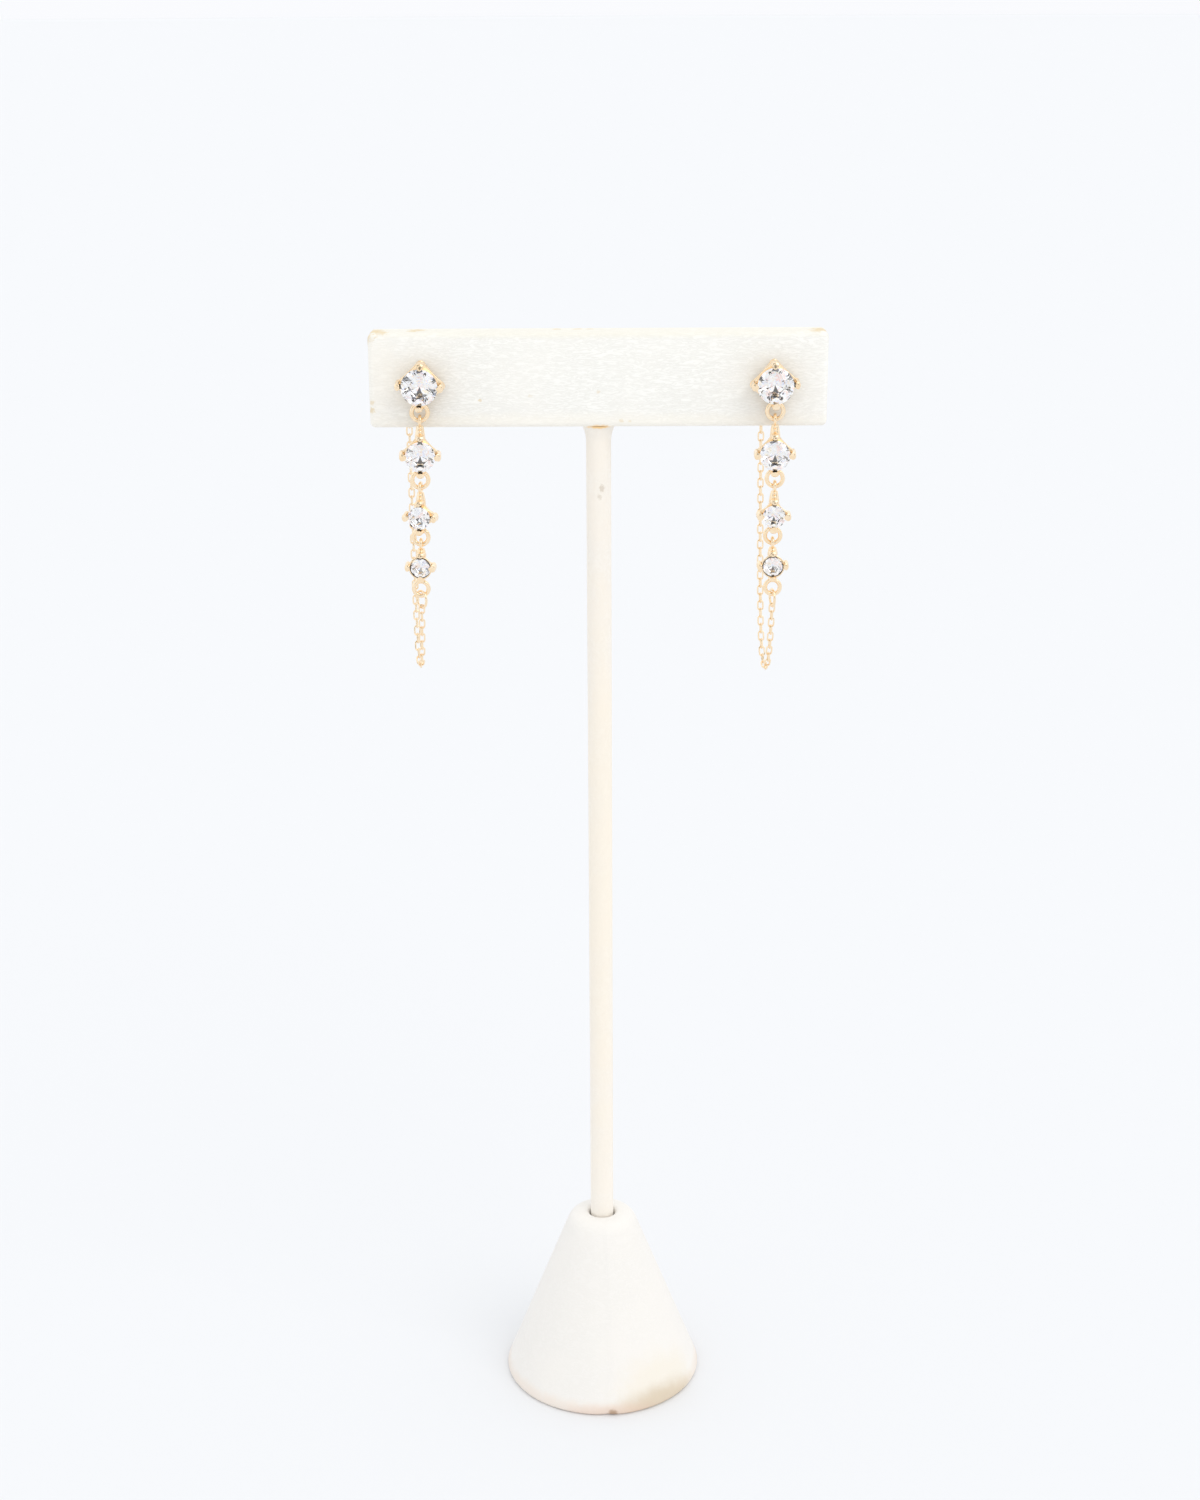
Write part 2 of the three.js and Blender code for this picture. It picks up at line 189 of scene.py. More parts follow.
def newGroup(name, inputs, outputs):
    group = bpy.data.node_groups.new(name, "ShaderNodeTree")
    for label, kind, value in inputs:
        socket = group.interface.new_socket(label, in_out="INPUT", socket_type=kind)
        socket.default_value = value
    for label, kind in outputs:
        group.interface.new_socket(label, in_out="OUTPUT", socket_type=kind)
    return group, group.nodes.new("NodeGroupInput"), group.nodes.new("NodeGroupOutput")


def addMath(tree, operation, first, second=None):
    node = tree.nodes.new("ShaderNodeMath")
    node.operation = operation
    for socket, value in zip(node.inputs, (first, second)):
        if value is None:
            continue
        if isinstance(value, (int, float)):
            socket.default_value = value
        else:
            tree.links.new(value, socket)
    return node.outputs["Value"]


def addNoise(tree, vector, scale, detail, roughness=0.5, distortion=0.0):
    node = tree.nodes.new("ShaderNodeTexNoise")
    node.inputs["Detail"].default_value = detail
    node.inputs["Roughness"].default_value = roughness
    node.inputs["Distortion"].default_value = distortion
    if isinstance(scale, (int, float)):
        node.inputs["Scale"].default_value = scale
    else:
        tree.links.new(scale, node.inputs["Scale"])
    tree.links.new(vector, node.inputs["Vector"])
    return node.outputs["Fac"]


def stretchRange(tree, value, low, high, newLow, newHigh):
    node = tree.nodes.new("ShaderNodeMapRange")
    tree.links.new(value, node.inputs["Value"])
    for label, amount in zip(("From Min", "From Max", "To Min", "To Max"), (low, high, newLow, newHigh)):
        node.inputs[label].default_value = amount
    return node.outputs["Result"]


grainWork = {"detail": 5, "roughness": 0.62, "distortion": 1.1, "fold": 5, "ridgeShare": -0.6}


def makeGrainGroup():
    # pressed wrinkles of a coated cloth: long low creases broken up by fine pores
    tree, given, result = newGroup(
        "leatherGrain",
        [
            ("Vector", "NodeSocketVector", (0, 0, 0)),
            ("Crease Scale", "NodeSocketVector", (420, 420, 2100)),
            ("Pore Scale", "NodeSocketFloat", 5200),
            ("Pore Share", "NodeSocketFloat", 0.35),
        ],
        [("Height", "NodeSocketFloat"), ("Tone", "NodeSocketFloat"), ("Creases", "NodeSocketFloat")],
    )
    stretch = tree.nodes.new("ShaderNodeVectorMath")
    stretch.operation = "MULTIPLY"
    tree.links.new(given.outputs["Vector"], stretch.inputs[0])
    tree.links.new(given.outputs["Crease Scale"], stretch.inputs[1])
    creases = addNoise(
        tree, stretch.outputs["Vector"], 1,
        grainWork["detail"], grainWork["roughness"], grainWork["distortion"],
    )
    folded = addMath(tree, "ABSOLUTE", addMath(tree, "SUBTRACT", creases, 0.5))
    ridges = addMath(tree, "SUBTRACT", 1, addMath(tree, "MULTIPLY", folded, grainWork["fold"]))
    pores = addNoise(tree, given.outputs["Vector"], given.outputs["Pore Scale"], 2)
    share = addMath(tree, "MULTIPLY", pores, given.outputs["Pore Share"])
    sunk = addMath(tree, "MULTIPLY", ridges, grainWork["ridgeShare"])
    height = addMath(tree, "ADD", sunk, share)
    tree.links.new(height, result.inputs["Height"])
    tree.links.new(creases, result.inputs["Tone"])
    tree.links.new(stretchRange(tree, ridges, 0.5, 1, 0, 1), result.inputs["Creases"])
    return tree


def makeSpotGroup():
    # a ragged soft-edged spot round one place, for stains, rubbed corners, glue and painted shade
    tree, given, result = newGroup(
        "wearAndShadeSpot",
        [
            ("Vector", "NodeSocketVector", (0, 0, 0)),
            ("Centre", "NodeSocketVector", (0, 0, 0)),
            ("Size", "NodeSocketVector", (0.001, 0.001, 0.001)),
            ("Ragged Scale", "NodeSocketFloat", 900),
            ("Ragged", "NodeSocketFloat", 0.6),
            ("Strength", "NodeSocketFloat", 1),
        ],
        [("Mask", "NodeSocketFloat")],
    )
    offset = tree.nodes.new("ShaderNodeVectorMath")
    offset.operation = "SUBTRACT"
    tree.links.new(given.outputs["Vector"], offset.inputs[0])
    tree.links.new(given.outputs["Centre"], offset.inputs[1])
    share = tree.nodes.new("ShaderNodeVectorMath")
    share.operation = "DIVIDE"
    tree.links.new(offset.outputs["Vector"], share.inputs[0])
    tree.links.new(given.outputs["Size"], share.inputs[1])
    length = tree.nodes.new("ShaderNodeVectorMath")
    length.operation = "LENGTH"
    tree.links.new(share.outputs["Vector"], length.inputs[0])
    noise = addNoise(tree, given.outputs["Vector"], given.outputs["Ragged Scale"], 4, 0.6)
    shift = addMath(tree, "MULTIPLY", addMath(tree, "SUBTRACT", noise, 0.5), given.outputs["Ragged"])
    reach = addMath(tree, "ADD", length.outputs["Value"], addMath(tree, "MULTIPLY", shift, 2))
    fade = tree.nodes.new("ShaderNodeMapRange")
    fade.interpolation_type = "SMOOTHSTEP"
    fade.inputs["From Min"].default_value = 1
    fade.inputs["From Max"].default_value = 0.35
    tree.links.new(reach, fade.inputs["Value"])
    mask = addMath(tree, "MULTIPLY", fade.outputs["Result"], given.outputs["Strength"])
    tree.links.new(mask, result.inputs["Mask"])
    return tree


def makeTarnishGroup():
    # slow drift of a plated finish, and fine handling marks in its polish
    tree, given, result = newGroup(
        "platingDrift",
        [
            ("Vector", "NodeSocketVector", (0, 0, 0)),
            ("Patch Scale", "NodeSocketFloat", 700),
            ("Mark Scale", "NodeSocketFloat", 9000),
        ],
        [("Patches", "NodeSocketFloat"), ("Marks", "NodeSocketFloat")],
    )
    patches = addNoise(tree, given.outputs["Vector"], given.outputs["Patch Scale"], 3, 0.55, 0.4)
    marks = addNoise(tree, given.outputs["Vector"], given.outputs["Mark Scale"], 3, 0.6)
    tree.links.new(patches, result.inputs["Patches"])
    tree.links.new(marks, result.inputs["Marks"])
    return tree


grainGroup = makeGrainGroup()
spotGroup = makeSpotGroup()
tarnishGroup = makeTarnishGroup()


# Finishes

def newMaterial(name):
    material = bpy.data.materials.new(name)
    material.use_nodes = True
    tree = material.node_tree
    shader = tree.nodes["Principled BSDF"]
    place = tree.nodes.new("ShaderNodeTexCoord").outputs["Object"]
    return material, tree, shader, place


def placeGroup(tree, group, vector, values):
    node = tree.nodes.new("ShaderNodeGroup")
    node.node_tree = group
    tree.links.new(vector, node.inputs["Vector"])
    for label, value in values.items():
        node.inputs[label].default_value = value
    return node


def mixTone(tree, mask, base, tone):
    node = tree.nodes.new("ShaderNodeMix")
    node.data_type = "RGBA"
    tree.links.new(mask, node.inputs["Factor"])
    for socket, value in ((node.inputs["A"], base), (node.inputs["B"], tone)):
        if isinstance(value, tuple):
            socket.default_value = (*value, 1)
        else:
            tree.links.new(value, socket)
    return node.outputs["Result"]


def addBump(tree, height, strength, distance):
    node = tree.nodes.new("ShaderNodeBump")
    node.inputs["Strength"].default_value = strength
    node.inputs["Distance"].default_value = distance
    tree.links.new(height, node.inputs["Height"])
    return node.outputs["Normal"]


def coveredMaterial(name, values, spots):
    material, tree, shader, place = newMaterial(name)
    grain = placeGroup(tree, grainGroup, place, values["grain"])
    # the sunk crease lines are darkened: painted shade in the creases
    colour = mixTone(tree, grain.outputs["Creases"], values["tone"], values["creaseShadeTone"])
    broad = addNoise(tree, place, values["driftScale"], 3)
    drift = stretchRange(tree, broad, 0.42, 0.62, 0, 1)
    drift = addMath(tree, "MULTIPLY", drift, values["driftShare"])
    colour = mixTone(tree, drift, colour, values["driftTone"])
    for spot in spots:
        wearAndShade = placeGroup(tree, spotGroup, place, {
            "Centre": [c * mm for c in spot["at"]],
            "Size": [s * mm for s in spot["size"]],
            "Ragged": spot.get("ragged", 0.6),
            "Ragged Scale": spot.get("raggedScale", 900),
            "Strength": spot.get("strength", 1),
        })
        colour = mixTone(tree, wearAndShade.outputs["Mask"], colour, spot["tone"])
    tree.links.new(colour, shader.inputs["Base Color"])
    rough = stretchRange(tree, grain.outputs["Tone"], 0.3, 0.7, *values["roughness"])
    tree.links.new(rough, shader.inputs["Roughness"])
    shader.inputs["Specular IOR Level"].default_value = values["specular"]
    shader.inputs["Sheen Weight"].default_value = values["sheen"]
    shader.inputs["Sheen Roughness"].default_value = 0.5
    normal = addBump(tree, grain.outputs["Height"], values["bump"], values["relief"] * mm)
    tree.links.new(normal, shader.inputs["Normal"])
    return material


def goldMaterial(name, values):
    material, tree, shader, place = newMaterial(name)
    drift = placeGroup(tree, tarnishGroup, place, {})
    patches = stretchRange(tree, drift.outputs["Patches"], 0.35, 0.65, 0, 1)
    colour = mixTone(tree, patches, values["tone"], values["deepTone"])
    tree.links.new(colour, shader.inputs["Base Color"])
    rough = stretchRange(tree, drift.outputs["Marks"], 0.3, 0.7, *values["roughness"])
    tree.links.new(rough, shader.inputs["Roughness"])
    shader.inputs["Metallic"].default_value = 1
    normal = addBump(tree, drift.outputs["Marks"], values["bump"], values["relief"] * mm)
    tree.links.new(normal, shader.inputs["Normal"])
    return material


def crystalMaterial(name, values):
    material, tree, shader, place = newMaterial(name)
    marks = placeGroup(tree, tarnishGroup, place, {"Mark Scale": 4000.0})
    rough = stretchRange(tree, marks.outputs["Marks"], 0.3, 0.7, *values["roughness"])
    tree.links.new(rough, shader.inputs["Roughness"])
    shader.inputs["Base Color"].default_value = (*values["tone"], 1)
    shader.inputs["IOR"].default_value = values["ior"]
    shader.inputs["Transmission Weight"].default_value = 1
    return material


def foilMaterial(name, values):
    # silvering behind a stone, with small rosy, blue and warm patches painted in for the stone's colour
    # flashes, a painted reflection
    material, tree, shader, place = newMaterial(name)
    colour = values["tone"]
    for flash in values["paintedFlashes"]:
        marks = placeGroup(tree, tarnishGroup, place, {"Patch Scale": flash["scale"]})
        mask = stretchRange(tree, marks.outputs["Patches"], flash["from"], flash["from"] + 0.05, 0, 1)
        colour = mixTone(tree, mask, colour, flash["tone"])
    tree.links.new(colour, shader.inputs["Base Color"])
    shader.inputs["Metallic"].default_value = 1
    shader.inputs["Roughness"].default_value = values["roughness"]
    return material


goldPlate = {
    "tone": (1.0, 0.83, 0.61),
    "deepTone": (0.99, 0.77, 0.51),
    "roughness": (0.14, 0.26),
    "bump": 0.15,
    "relief": 0.02,
}
crystal = {"tone": (1.0, 1.0, 1.0), "ior": 1.56, "roughness": (0.0, 0.02)}
foil = {
    "tone": (0.985, 0.985, 0.98),
    "roughness": 0.02,
    "paintedFlashes": [
        {"scale": 1300.0, "from": 0.57, "tone": (1.0, 0.84, 0.8)},
        {"scale": 1700.0, "from": 0.58, "tone": (0.84, 0.87, 1.0)},
        {"scale": 1500.0, "from": 0.6, "tone": (1.0, 0.92, 0.76)},
    ],
}
# near-black gold for the seat: painted shade in the cup, in the gaps by the claws and inside the collar,
# with some tarnish
seatShadeAndTarnish = {
    "tone": (0.1, 0.075, 0.045),
    "deepTone": (0.05, 0.035, 0.02),
    "roughness": (0.5, 0.7),
    "bump": 0.3,
    "relief": 0.02,
}
gold = goldMaterial("goldPlate", goldPlate)
shadeAndTarnish = goldMaterial("seatShadeAndTarnish", seatShadeAndTarnish)
glass = crystalMaterial("crystal", crystal)
silvered = foilMaterial("silveredBack", foil)
print("finishes made")


# Shaping helpers, all in millimetres

def arc(centre, radius, start, end, steps):
    # points on an arc of the profile plane, from start to end in degrees
    points = []
    for i in range(steps + 1):
        angle = math.radians(start + (end - start) * i / steps)
        points.append((centre[0] + radius * math.cos(angle), centre[1] + radius * math.sin(angle)))
    return points


def addTurned(bm, profile, steps, matrix=None):
    # a profile of radius and height spun about +Z
    verts = [bm.verts.new((radius, 0, height)) for radius, height in profile]
    edges = [bm.edges.new(pair) for pair in zip(verts, verts[1:])]
    before = set(bm.verts) - set(verts)
    bmesh.ops.spin(
        bm, geom=verts + edges, cent=(0, 0, 0), axis=(0, 0, 1),
        angle=math.tau, steps=steps, use_merge=True,
    )
    made = [v for v in bm.verts if v not in before]
    bmesh.ops.remove_doubles(bm, verts=made, dist=1e-4)
    made = [v for v in bm.verts if v not in before]
    return placeNew(bm, made, matrix)


def placeNew(bm, made, matrix):
    faces = list({f for v in made for f in v.link_faces})
    bmesh.ops.recalc_face_normals(bm, faces=faces)
    if matrix is not None:
        bmesh.ops.transform(bm, matrix=matrix, verts=made)
    return made


def addRing(bm, radius, wire, steps, sides, matrix=None):
    # a round wire ring about +Z
    turn = Matrix.Translation((radius, 0, 0)) @ Matrix.Rotation(math.pi / 2, 4, "X")
    before = set(bm.verts)
    made = bmesh.ops.create_circle(bm, segments=sides, radius=wire / 2, matrix=turn)["verts"]
    edges = list({e for v in made for e in v.link_edges})
    bmesh.ops.spin(
        bm, geom=made + edges, cent=(0, 0, 0), axis=(0, 0, 1),
        angle=math.tau, steps=steps, use_merge=True,
    )
    made = [v for v in bm.verts if v not in before]
    return placeNew(bm, made, matrix)


def addBall(bm, radius, place, matrix):
    turn = matrix @ Matrix.Translation(place)
    bmesh.ops.create_uvsphere(bm, u_segments=20, v_segments=12, radius=radius, matrix=turn)


def finishPiece(name, bm, materials, nodes, smooth=40):
    bmesh.ops.scale(bm, vec=(mm, mm, mm), verts=bm.verts)
    data = bpy.data.meshes.new(name)
    bm.to_mesh(data)
    bm.free()
    for material in materials:
        data.materials.append(material)
    if smooth:
        data.shade_smooth()
        data.set_sharp_from_angle(angle=math.radians(smooth))
    piece = bpy.data.objects.new(name, data)
    scene.collection.objects.link(piece)
    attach(piece, "root")
    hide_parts(*nodes)
    return piece


def boxOf(node):
    low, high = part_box(node)
    return low / mm, high / mm


# Stand

base = {
    "hemRound": 0.7,
    "sideSteps": 24,
    "rimWidth": 2.6,
    "shoulderRound": 2.1,
    "mouthRound": 0.7,
    "socketDepth": 12,
    "steps": 120,
    "seamAt": -86,
    "seamStep": 0.13,
    "seamFade": 24,
    "notchWidth": 2.2,
    "notchHeight": 1.1,
    "notchDepth": 0.35,
}
post = {
    "radius": 2.1,
    "clearance": 0.3,
    "barGap": 0.04,
    "tenon": 2.6,
    "tenonLength": 6,
    "flare": 5.7,
    "flareLength": 3,
    "footRound": 0.3,
    "lengthSteps": 40,
    "steps": 48,
}
bar = {"edgeRound": 0.9}

postRadius = post["radius"]
baseLow, baseHigh = boxOf("stand_base")
postFoot = boxOf("stand_post")[0].z
barLow, barHigh = boxOf("stand_bar")


def makeBase():
    radius = (baseHigh.x - baseLow.x) / 2
    height = baseHigh.z
    socket = postRadius + post["clearance"]
    mouth = socket + base["mouthRound"]
    hem = base["hemRound"]
    foot = Vector((radius, hem))
    corner = Vector((mouth + base["rimWidth"], height))
    side = (foot - corner).normalized() * base["shoulderRound"] + corner
    profile = [(0, 0), (radius * 0.5, 0)]
    profile += arc((radius - hem, hem), hem, -90, 0, 6)
    for i in range(1, base["sideSteps"]):
        profile.append(tuple(foot.lerp(side, i / base["sideSteps"])))
    for i in range(9):
        t = i / 8
        start = side.lerp(corner, t)
        end = corner.lerp(Vector((corner.x - base["shoulderRound"], height)), t)
        profile.append(tuple(start.lerp(end, t)))
    profile += arc((mouth, height - base["mouthRound"]), base["mouthRound"], 90, 180, 5)
    profile += [(socket, height - base["socketDepth"]), (0, height - base["socketDepth"])]
    bm = bmesh.new()
    addTurned(bm, profile, base["steps"])
    # the cover's two edges lap down the front, with a small nick where they turn under
    for vert in bm.verts:
        out = math.hypot(vert.co.x, vert.co.y)
        if out < mouth:
            continue
        past = (math.degrees(math.atan2(vert.co.y, vert.co.x)) - base["seamAt"]) % 360
        lap = max(0, 1 - past / base["seamFade"]) * base["seamStep"]
        away = min(past, 360 - past) * math.pi / 180 * out
        nick = max(0, 1 - away / base["notchWidth"]) * max(0, 1 - vert.co.z / base["notchHeight"])
        scaled = (out + min(lap, height - vert.co.z) - nick * base["notchDepth"]) / out
        vert.co.x *= scaled
        vert.co.y *= scaled
    spots = [
        {"at": (0, 0, 0), "size": (60, 60, 3.2), "tone": (0.84, 0.72, 0.62), "strength": 0.55,
         "ragged": 0.4, "raggedScale": 300},
        {"at": (12, -14, 3), "size": (13, 12, 9), "tone": (0.84, 0.77, 0.64), "strength": 0.5,
         "ragged": 0.3, "raggedScale": 300},
        {"at": (11, -14, 0), "size": (14, 10, 5), "tone": (0.62, 0.5, 0.35), "strength": 0.68,
         "ragged": 0.25, "raggedScale": 260},
        {"at": (2, -18, 0), "size": (12, 8, 2.8), "tone": (0.76, 0.57, 0.46), "strength": 0.5,
         "ragged": 0.3, "raggedScale": 260},
        {"at": (1.9, -18, 0.4), "size": (1.3, 1.3, 1.1), "tone": (0.45, 0.3, 0.2), "strength": 0.9,
         "ragged": 0.4},
    ]
    values = {
        "tone": (0.85, 0.824, 0.787),
        "creaseShadeTone": (0.83, 0.805, 0.765),
        "driftTone": (0.86, 0.828, 0.785),
        "driftScale": 60,
        "driftShare": 0.8,
        "grain": {"Crease Scale": (500, 500, 900)},
        "roughness": (0.55, 0.7),
        "specular": 0.35,
        "sheen": 0.1,
        "bump": 0.3,
        "relief": 0.05,
    }
    cover = coveredMaterial("baseCover", values, spots)
    return finishPiece("base_cover", bm, [cover], ["stand_base"])


def makePost():
    foot = postFoot
    top = barLow.z - post["barGap"]
    flare = post["flare"] / 2
    footRound = post["footRound"]
    profile = [(0, foot), (postRadius - footRound, foot), (postRadius, foot + footRound)]
    straight = top - post["flareLength"]
    for i in range(1, post["lengthSteps"]):
        share = i / post["lengthSteps"]
        profile.append((postRadius, foot + footRound + (straight - foot - footRound) * share))
    for i in range(10):
        t = i / 9
        profile.append((postRadius + (flare - postRadius) * t * t, straight + post["flareLength"] * t))
    profile += [(post["tenon"] / 2, top), (post["tenon"] / 2, top + post["tenonLength"])]
    profile.append((0, top + post["tenonLength"]))
    bm = bmesh.new()
    addTurned(bm, profile, post["steps"])
    spots = [
        {"at": (0, -2, 100), "size": (4, 6, 75), "tone": (0.92, 0.83, 0.69), "strength": 0.5,
         "raggedScale": 60},
        {"at": (0.5, -2.1, top - 10.6), "size": (0.6, 1, 0.9), "tone": (0.6, 0.52, 0.42),
         "strength": 0.6, "ragged": 1.1, "raggedScale": 2600},
        {"at": (0.1, -2.1, top - 12), "size": (0.5, 1, 0.6), "tone": (0.6, 0.52, 0.42),
         "strength": 0.45, "ragged": 1.1, "raggedScale": 2600},
        {"at": (0, -2.4, top), "size": (2.8, 2, 0.5), "tone": (0.95, 0.64, 0.3), "ragged": 0.5,
         "raggedScale": 1500},
    ]
    values = {
        "tone": (0.9, 0.858, 0.795),
        "creaseShadeTone": (0.875, 0.825, 0.755),
        "driftTone": (0.91, 0.845, 0.755),
        "driftScale": 90,
        "driftShare": 0.8,
        "grain": {"Crease Scale": (700, 700, 700)},
        "roughness": (0.6, 0.75),
        "specular": 0.3,
        "sheen": 0.1,
        "bump": 0.35,
        "relief": 0.05,
    }
    wrap = coveredMaterial("postWrap", values, spots)
    return finishPiece("post_wrap", bm, [wrap], ["stand_post"])


def makeBar():
    size = barHigh - barLow
    middle = (barHigh + barLow) / 2
    bm = bmesh.new()
    place = Matrix.Translation(middle) @ Matrix.Diagonal((*size, 1))
    bmesh.ops.create_cube(bm, size=1, matrix=place)
    bmesh.ops.bevel(
        bm, geom=bm.edges[:], offset=bar["edgeRound"], offset_type="OFFSET",
        segments=5, profile=0.5, affect="EDGES", material=-1,
    )
    values = {
        "tone": (0.955, 0.943, 0.9),
        "creaseShadeTone": (0.85, 0.835, 0.785),
        "driftTone": (0.94, 0.915, 0.86),
        "driftScale": 55,
        "driftShare": 0.4,
        "grain": {},
        "roughness": (0.5, 0.68),
        "specular": 0.35,
        "sheen": 0.1,
        "bump": 0.65,
        "relief": 0.06,
    }
    tan = (0.74, 0.56, 0.28)
    low, high = barLow, barHigh
    front = low.y
    spots = [
        # painted shade: a warm darker band along the top face, where the sun lights it
        {"at": (0, front + 3, high.z), "size": (90, 6, 1.4), "tone": (0.8, 0.76, 0.65),
         "strength": 0.6, "ragged": 0.2},
        # painted shade: a warm darker band along the bottom of the face, where it rounds under
        {"at": (0, front, low.z), "size": (90, 3, 3.2), "tone": (0.95, 0.9, 0.8),
         "strength": 0.5, "ragged": 0.3, "raggedScale": 300},
        {"at": (low.x, front, middle.z), "size": (9, 3, 9), "tone": (0.93, 0.88, 0.79),
         "strength": 0.45, "ragged": 0.4, "raggedScale": 300},
        {"at": (0.3, front + 0.2, low.z), "size": (2.4, 1.4, 0.5), "tone": (0.95, 0.64, 0.3),
         "strength": 0.8, "ragged": 0.5, "raggedScale": 1500},
    ]
    # rubbed corners and small marks: across from the left end, back from the face,
    # down from the top, width, strength
    for across, back, down, width, strength in (
        (0.8, 3.4, 0, 2.7, 0.75), (2, 1.6, 0, 1.7, 0.6), (0.2, 1, 1, 1.6, 0.55), (8, 4.3, 0, 1.8, 0.65),
        (7.2, 3, 0, 1.1, 0.5), (75, 3.4, 0, 2.5, 0.7), (73.6, 1.8, 0, 1.4, 0.5),
        (31, 5, 0, 0.9, 0.55), (34.5, 5, 0, 1, 0.55), (36.5, 5, 0, 0.8, 0.45),
        (0.5, 0.3, 11.2, 0.7, 0.45), (0.4, 0.3, 12.6, 0.8, 0.55), (18.3, 0, 11, 0.4, 0.5),
        (26.6, 0, 10.2, 0.5, 0.2), (37.9, 0, 9.6, 0.45, 0.3), (41.6, 0, 14.4, 0.5, 0.35),
        (43, 0, 14.5, 0.4, 0.3),
    ):
        spots.append({
            "at": (low.x + across, front + back, high.z - down), "size": (width, width * 0.9, width * 0.8),
            "tone": tan, "strength": strength, "ragged": 1.1, "raggedScale": 2200,
        })
    cover = coveredMaterial("barCover", values, spots)
    return finishPiece("bar_cover", bm, [cover], ["stand_bar"])


makeBase()
makePost()
makeBar()
print("stand made")


# Stones

stoneCut = {
    "table": 0.56,
    "crown": 0.14,
    "girdle": 0.03,
    "pavilion": 0.42,
    "starSlope": 20,
    "crownHalfSlope": 40,
    "pavilionHalfSlope": 43,
}


def stonePlace(node):
    # a stone's own axes: origin at its culet, +Z out of its table, +X to the girdle corner on the right
    points = {tuple(round(c, 7) for c in v.co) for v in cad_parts[node].data.vertices}
    points = [Vector(p) / mm for p in points]
    culet = max(points, key=lambda p: p.y)
    middle = sum(points, Vector()) / len(points)
    axis = (middle - culet).normalized()
    corner = max(points, key=lambda p: p.x) - culet
    right = (corner - axis * corner.dot(axis)).normalized()
    radius = (corner - axis * corner.dot(axis)).length
    turn = Matrix((right, axis.cross(right), axis)).transposed().to_4x4()
    return Matrix.Translation(culet) @ turn, 2 * radius


def grind(bm, angle, slope, out, height):
    # takes off all above one facet: angle about the axis, slope from level, through one point
    turn = math.radians(angle)
    tilt = math.radians(slope)
    across = Vector((math.cos(turn), math.sin(turn), 0))
    normal = across * math.sin(tilt) + Vector((0, 0, math.cos(tilt)))
    point = across * out + Vector((0, 0, height))
    geom = bm.verts[:] + bm.edges[:] + bm.faces[:]
    cut = bmesh.ops.bisect_plane(
        bm, geom=geom, dist=1e-5, plane_co=point, plane_no=normal, clear_outer=True
    )
    edges = [e for e in cut["geom_cut"] if isinstance(e, bmesh.types.BMEdge) and e.is_boundary]
    if edges:
        bmesh.ops.contextual_create(bm, geom=edges)


def makeStone(name, node):
    place, diameter = stonePlace(node)
    cut = stoneCut
    radius = diameter / 2
    low = diameter * cut["pavilion"]
    high = low + diameter * cut["girdle"]
    top = high + diameter * cut["crown"]
    table = radius * cut["table"]
    bm = bmesh.new()
    bmesh.ops.create_cone(
        bm, cap_ends=True, segments=64, radius1=radius, radius2=radius, depth=top,
        matrix=Matrix.Translation((0, 0, top / 2)),
    )
    crown = math.degrees(math.atan2(top - high, radius - table))
    back = math.degrees(math.atan2(low, radius))
    step = 45
    for i in range(8):
        grind(bm, i * step, crown, radius, high)
        grind(bm, i * step, 180 - back, radius, low)
    for i in range(16):
        angle = (i + 0.5) * step / 2
        grind(bm, angle, cut["crownHalfSlope"], radius, high)
        grind(bm, angle, 180 - cut["pavilionHalfSlope"], radius, low)
    for i in range(8):
        angle = (i + 0.5) * step
        grind(bm, angle, cut["starSlope"], table * math.cos(math.radians(step / 2)), top)
    bmesh.ops.remove_doubles(bm, verts=bm.verts, dist=1e-4)
    bmesh.ops.dissolve_degenerate(bm, edges=bm.edges, dist=1e-4)
    bmesh.ops.recalc_face_normals(bm, faces=bm.faces)
    for face in bm.faces:
        face.material_index = 1 if face.normal.z < -0.2 else 0
    bmesh.ops.transform(bm, matrix=place, verts=bm.verts)
    return finishPiece(name, bm, [glass, silvered], [node], smooth=0)


# Settings

metal = {
    "cupFloor": 0.35,
    "cupWall": 0.32,
    "cupBackShare": 0.5,
    "cupBackHeight": 0.05,
    "stoneClearance": 0.06,
    "flangeThickness": 0.75,
    "flangeLobe": 0.7,
    "flangeLobeTurn": 65,
    "flangeHole": 0.55,
    "flangeSideInset": 0.06,
    "flangeBevel": 0.16,
    "clawRadius": 0.42,
    "clawSpread": 1.55,
    "clawGap": 0.1,
    "clawCover": 0.15,
    "clawShoulder": 0.05,
    "clawTip": 0.4,
    "openGap": 0.2,
    "openLean": 0.3,
    "webWidth": 0.8,
    "webDrop": 0.12,
    "collarGap": 0.13,
    "collarWall": 0.24,
    "stemFoot": 1.75,
    "stemTop": 1.1,
    "stemDepth": 0.8,
    "beadSink": 0.3,
    "ringWire": 0.72,
    "loopWire": 0.56,
    "loopClearance": 0.16,
    "earPost": 0.8,
    "earPostLength": 12.2,
}
flangeMiddle = metal["flangeThickness"] / 2
loopRadius = (metal["ringWire"] + metal["loopWire"]) / 2 + metal["loopClearance"]
# beads: radii down the front of the stem, from the loop to the top claw
settingRows = [
    {"name": "stud", "ring": 3.4, "sink": 0.92, "stem": None, "beads": (), "collar": False},
    {"name": "upper", "ring": 3.4, "sink": 0.58, "stem": 1.15, "beads": (0.33, 0.4, 0.46),
     "collar": False},
    {"name": "middle", "ring": 3.3, "sink": 0.6, "stem": 0.95, "beads": (0.33, 0.4, 0.46),
     "collar": False},
    {"name": "lower", "ring": 3.2, "sink": -0.08, "stem": 0.25, "beads": (0.5,), "collar": True},
]


